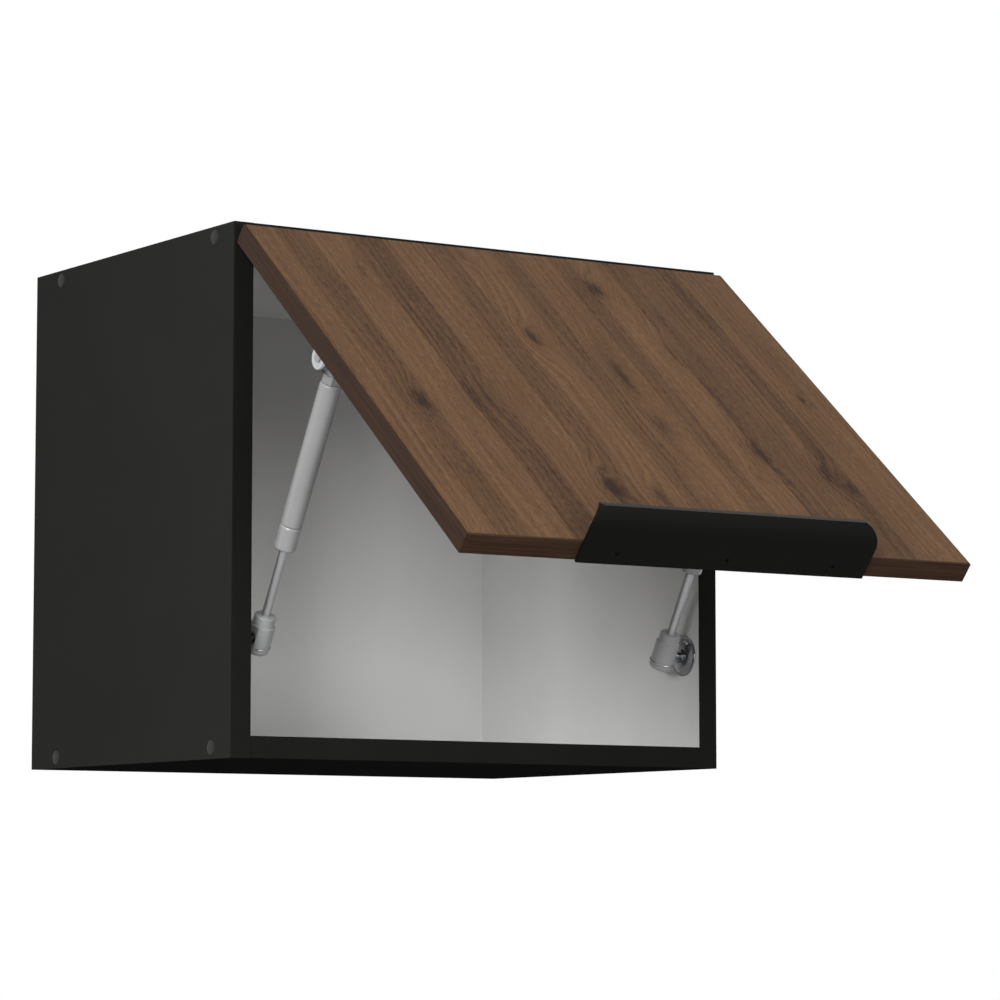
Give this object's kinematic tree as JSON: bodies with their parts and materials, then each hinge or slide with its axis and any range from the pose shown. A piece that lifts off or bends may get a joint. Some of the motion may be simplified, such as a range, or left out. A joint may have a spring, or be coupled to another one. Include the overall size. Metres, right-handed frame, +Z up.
{
  "type": "lift-up wall cabinet",
  "caption": "Lift-up wall cabinet: black carcass with white inside, walnut-look door on concealed cup hinges, held open by gas struts, with a black edge pull.",
  "frame": {"origin": "middle of the lower rear edge, in the wall plane that the cabinet's rear edges touch", "axes": "+X to the right as seen from the room, +Y towards the wall, +Z up"},
  "size_m": [0.4016, 0.588, 0.36],
  "materials": {
    "carcass_board": "melamine-faced particle board, matt black outside and white inside",
    "back_board": "thin board, white towards the inside",
    "carcass_band": "matt black edge band",
    "steel_screw": "bright zinc-plated steel",
    "beech": "plain beech",
    "cap_plastic": "matt black plastic",
    "hanger_plastic": "white moulded plastic",
    "zinc_steel": "zinc-plated pressed steel",
    "hinge_nickel": "nickel-plated pressed steel",
    "chrome_plate": "polished chrome plate",
    "socket_plastic": "light grey moulded plastic",
    "spring_wire": "drawn spring wire",
    "strut_paint": "light grey satin paint",
    "rod_chrome": "hard chrome, polished",
    "piston_alloy": "machined alloy",
    "guide_plastic": "black plastic guide and seal",
    "door_board": "dark walnut laminate",
    "door_band": "dark brown edge band",
    "bumper_rubber": "soft clear-grey pad",
    "pull_coating": "fine matt black powder coat"
  },
  "bodies": {
    "cabinet": {"back_panel": "back_board", "bottom_panel": "carcass_board", "carcass_edge_bands": "carcass_band", "carcass_screws": "steel_screw", "dowels": "beech", "hanger_box_left": "hanger_plastic", "hanger_box_right": "hanger_plastic", "hanger_hook_left": "zinc_steel", "hanger_hook_right": "zinc_steel", "hanger_screws": "zinc_steel", "hinge_arm_left": "hinge_nickel", "hinge_arm_right": "hinge_nickel", "hinge_arm_screws": "steel_screw", "hinge_plate_left": "hinge_nickel", "hinge_plate_right": "hinge_nickel", "hinge_plate_screws": "steel_screw", "rosette_screws": "steel_screw", "screw_caps": "cap_plastic", "side_panel_left": "carcass_board", "side_panel_right": "carcass_board", "strut_rosette_left": "chrome_plate", "strut_rosette_right": "chrome_plate", "top_panel": "carcass_board"},
    "door": {"bracket_screws": "steel_screw", "cup_screws": "steel_screw", "door_bumpers": "bumper_rubber", "door_edge_bands": "door_band", "door_panel": "door_board", "edge_pull": "pull_coating", "hinge_cup_left": "hinge_nickel", "hinge_cup_right": "hinge_nickel", "hinge_pin_left": "steel_screw", "hinge_pin_right": "steel_screw", "pull_screws": "steel_screw", "strut_bracket_left": "zinc_steel", "strut_bracket_right": "zinc_steel", "upper_stud_left": "chrome_plate", "upper_stud_right": "chrome_plate"},
    "strut_rod_assembly_left": {"lower_clip_left": "spring_wire", "lower_socket_left": "socket_plastic", "lower_stud_left": "chrome_plate", "strut_piston_left": "piston_alloy", "strut_rod_left": "rod_chrome"},
    "strut_rod_assembly_right": {"lower_clip_right": "spring_wire", "lower_socket_right": "socket_plastic", "lower_stud_right": "chrome_plate", "strut_piston_right": "piston_alloy", "strut_rod_right": "rod_chrome"},
    "strut_cylinder_left": {"rod_guide_left": "guide_plastic", "strut_tube_left": "strut_paint", "upper_clip_left": "spring_wire", "upper_socket_left": "socket_plastic"},
    "strut_cylinder_right": {"rod_guide_right": "guide_plastic", "strut_tube_right": "strut_paint", "upper_clip_right": "spring_wire", "upper_socket_right": "socket_plastic"}
  },
  "joints": [
    {"name": "door_lift", "type": "hinge", "parent": "cabinet", "child": "door", "pos_m": [0, -0.3041, 0.3477], "axis": [-1, 0, 0], "range_deg": [-50.14, 0]},
    {"name": "strut_swing_left", "type": "hinge", "parent": "door", "child": "strut_cylinder_left", "pos_m": [-0.1678, -0.37353, 0.25938], "axis": [1, 0, 0], "range_deg": [-76.71, 0]},
    {"name": "rod_slide_left", "type": "slide", "parent": "strut_cylinder_left", "child": "strut_rod_assembly_left", "axis": [0, 0.4939, -0.8695], "range_m": [-0.04807, 0]},
    {"name": "strut_swing_right", "type": "hinge", "parent": "door", "child": "strut_cylinder_right", "pos_m": [0.1678, -0.37353, 0.25938], "axis": [1, 0, 0], "range_deg": [-76.71, 0]},
    {"name": "rod_slide_right", "type": "slide", "parent": "strut_cylinder_right", "child": "strut_rod_assembly_right", "axis": [0, 0.4939, -0.8695], "range_m": [-0.04807, 0]}
  ],
  "couplings": [
    {"joint": "strut_swing_left", "follows": "door_lift", "ratio": 1.5296},
    {"joint": "rod_slide_left", "follows": "door_lift", "m_per_rad": 0.054902},
    {"joint": "strut_swing_right", "follows": "door_lift", "ratio": 1.5296},
    {"joint": "rod_slide_right", "follows": "door_lift", "m_per_rad": 0.054902}
  ]
}
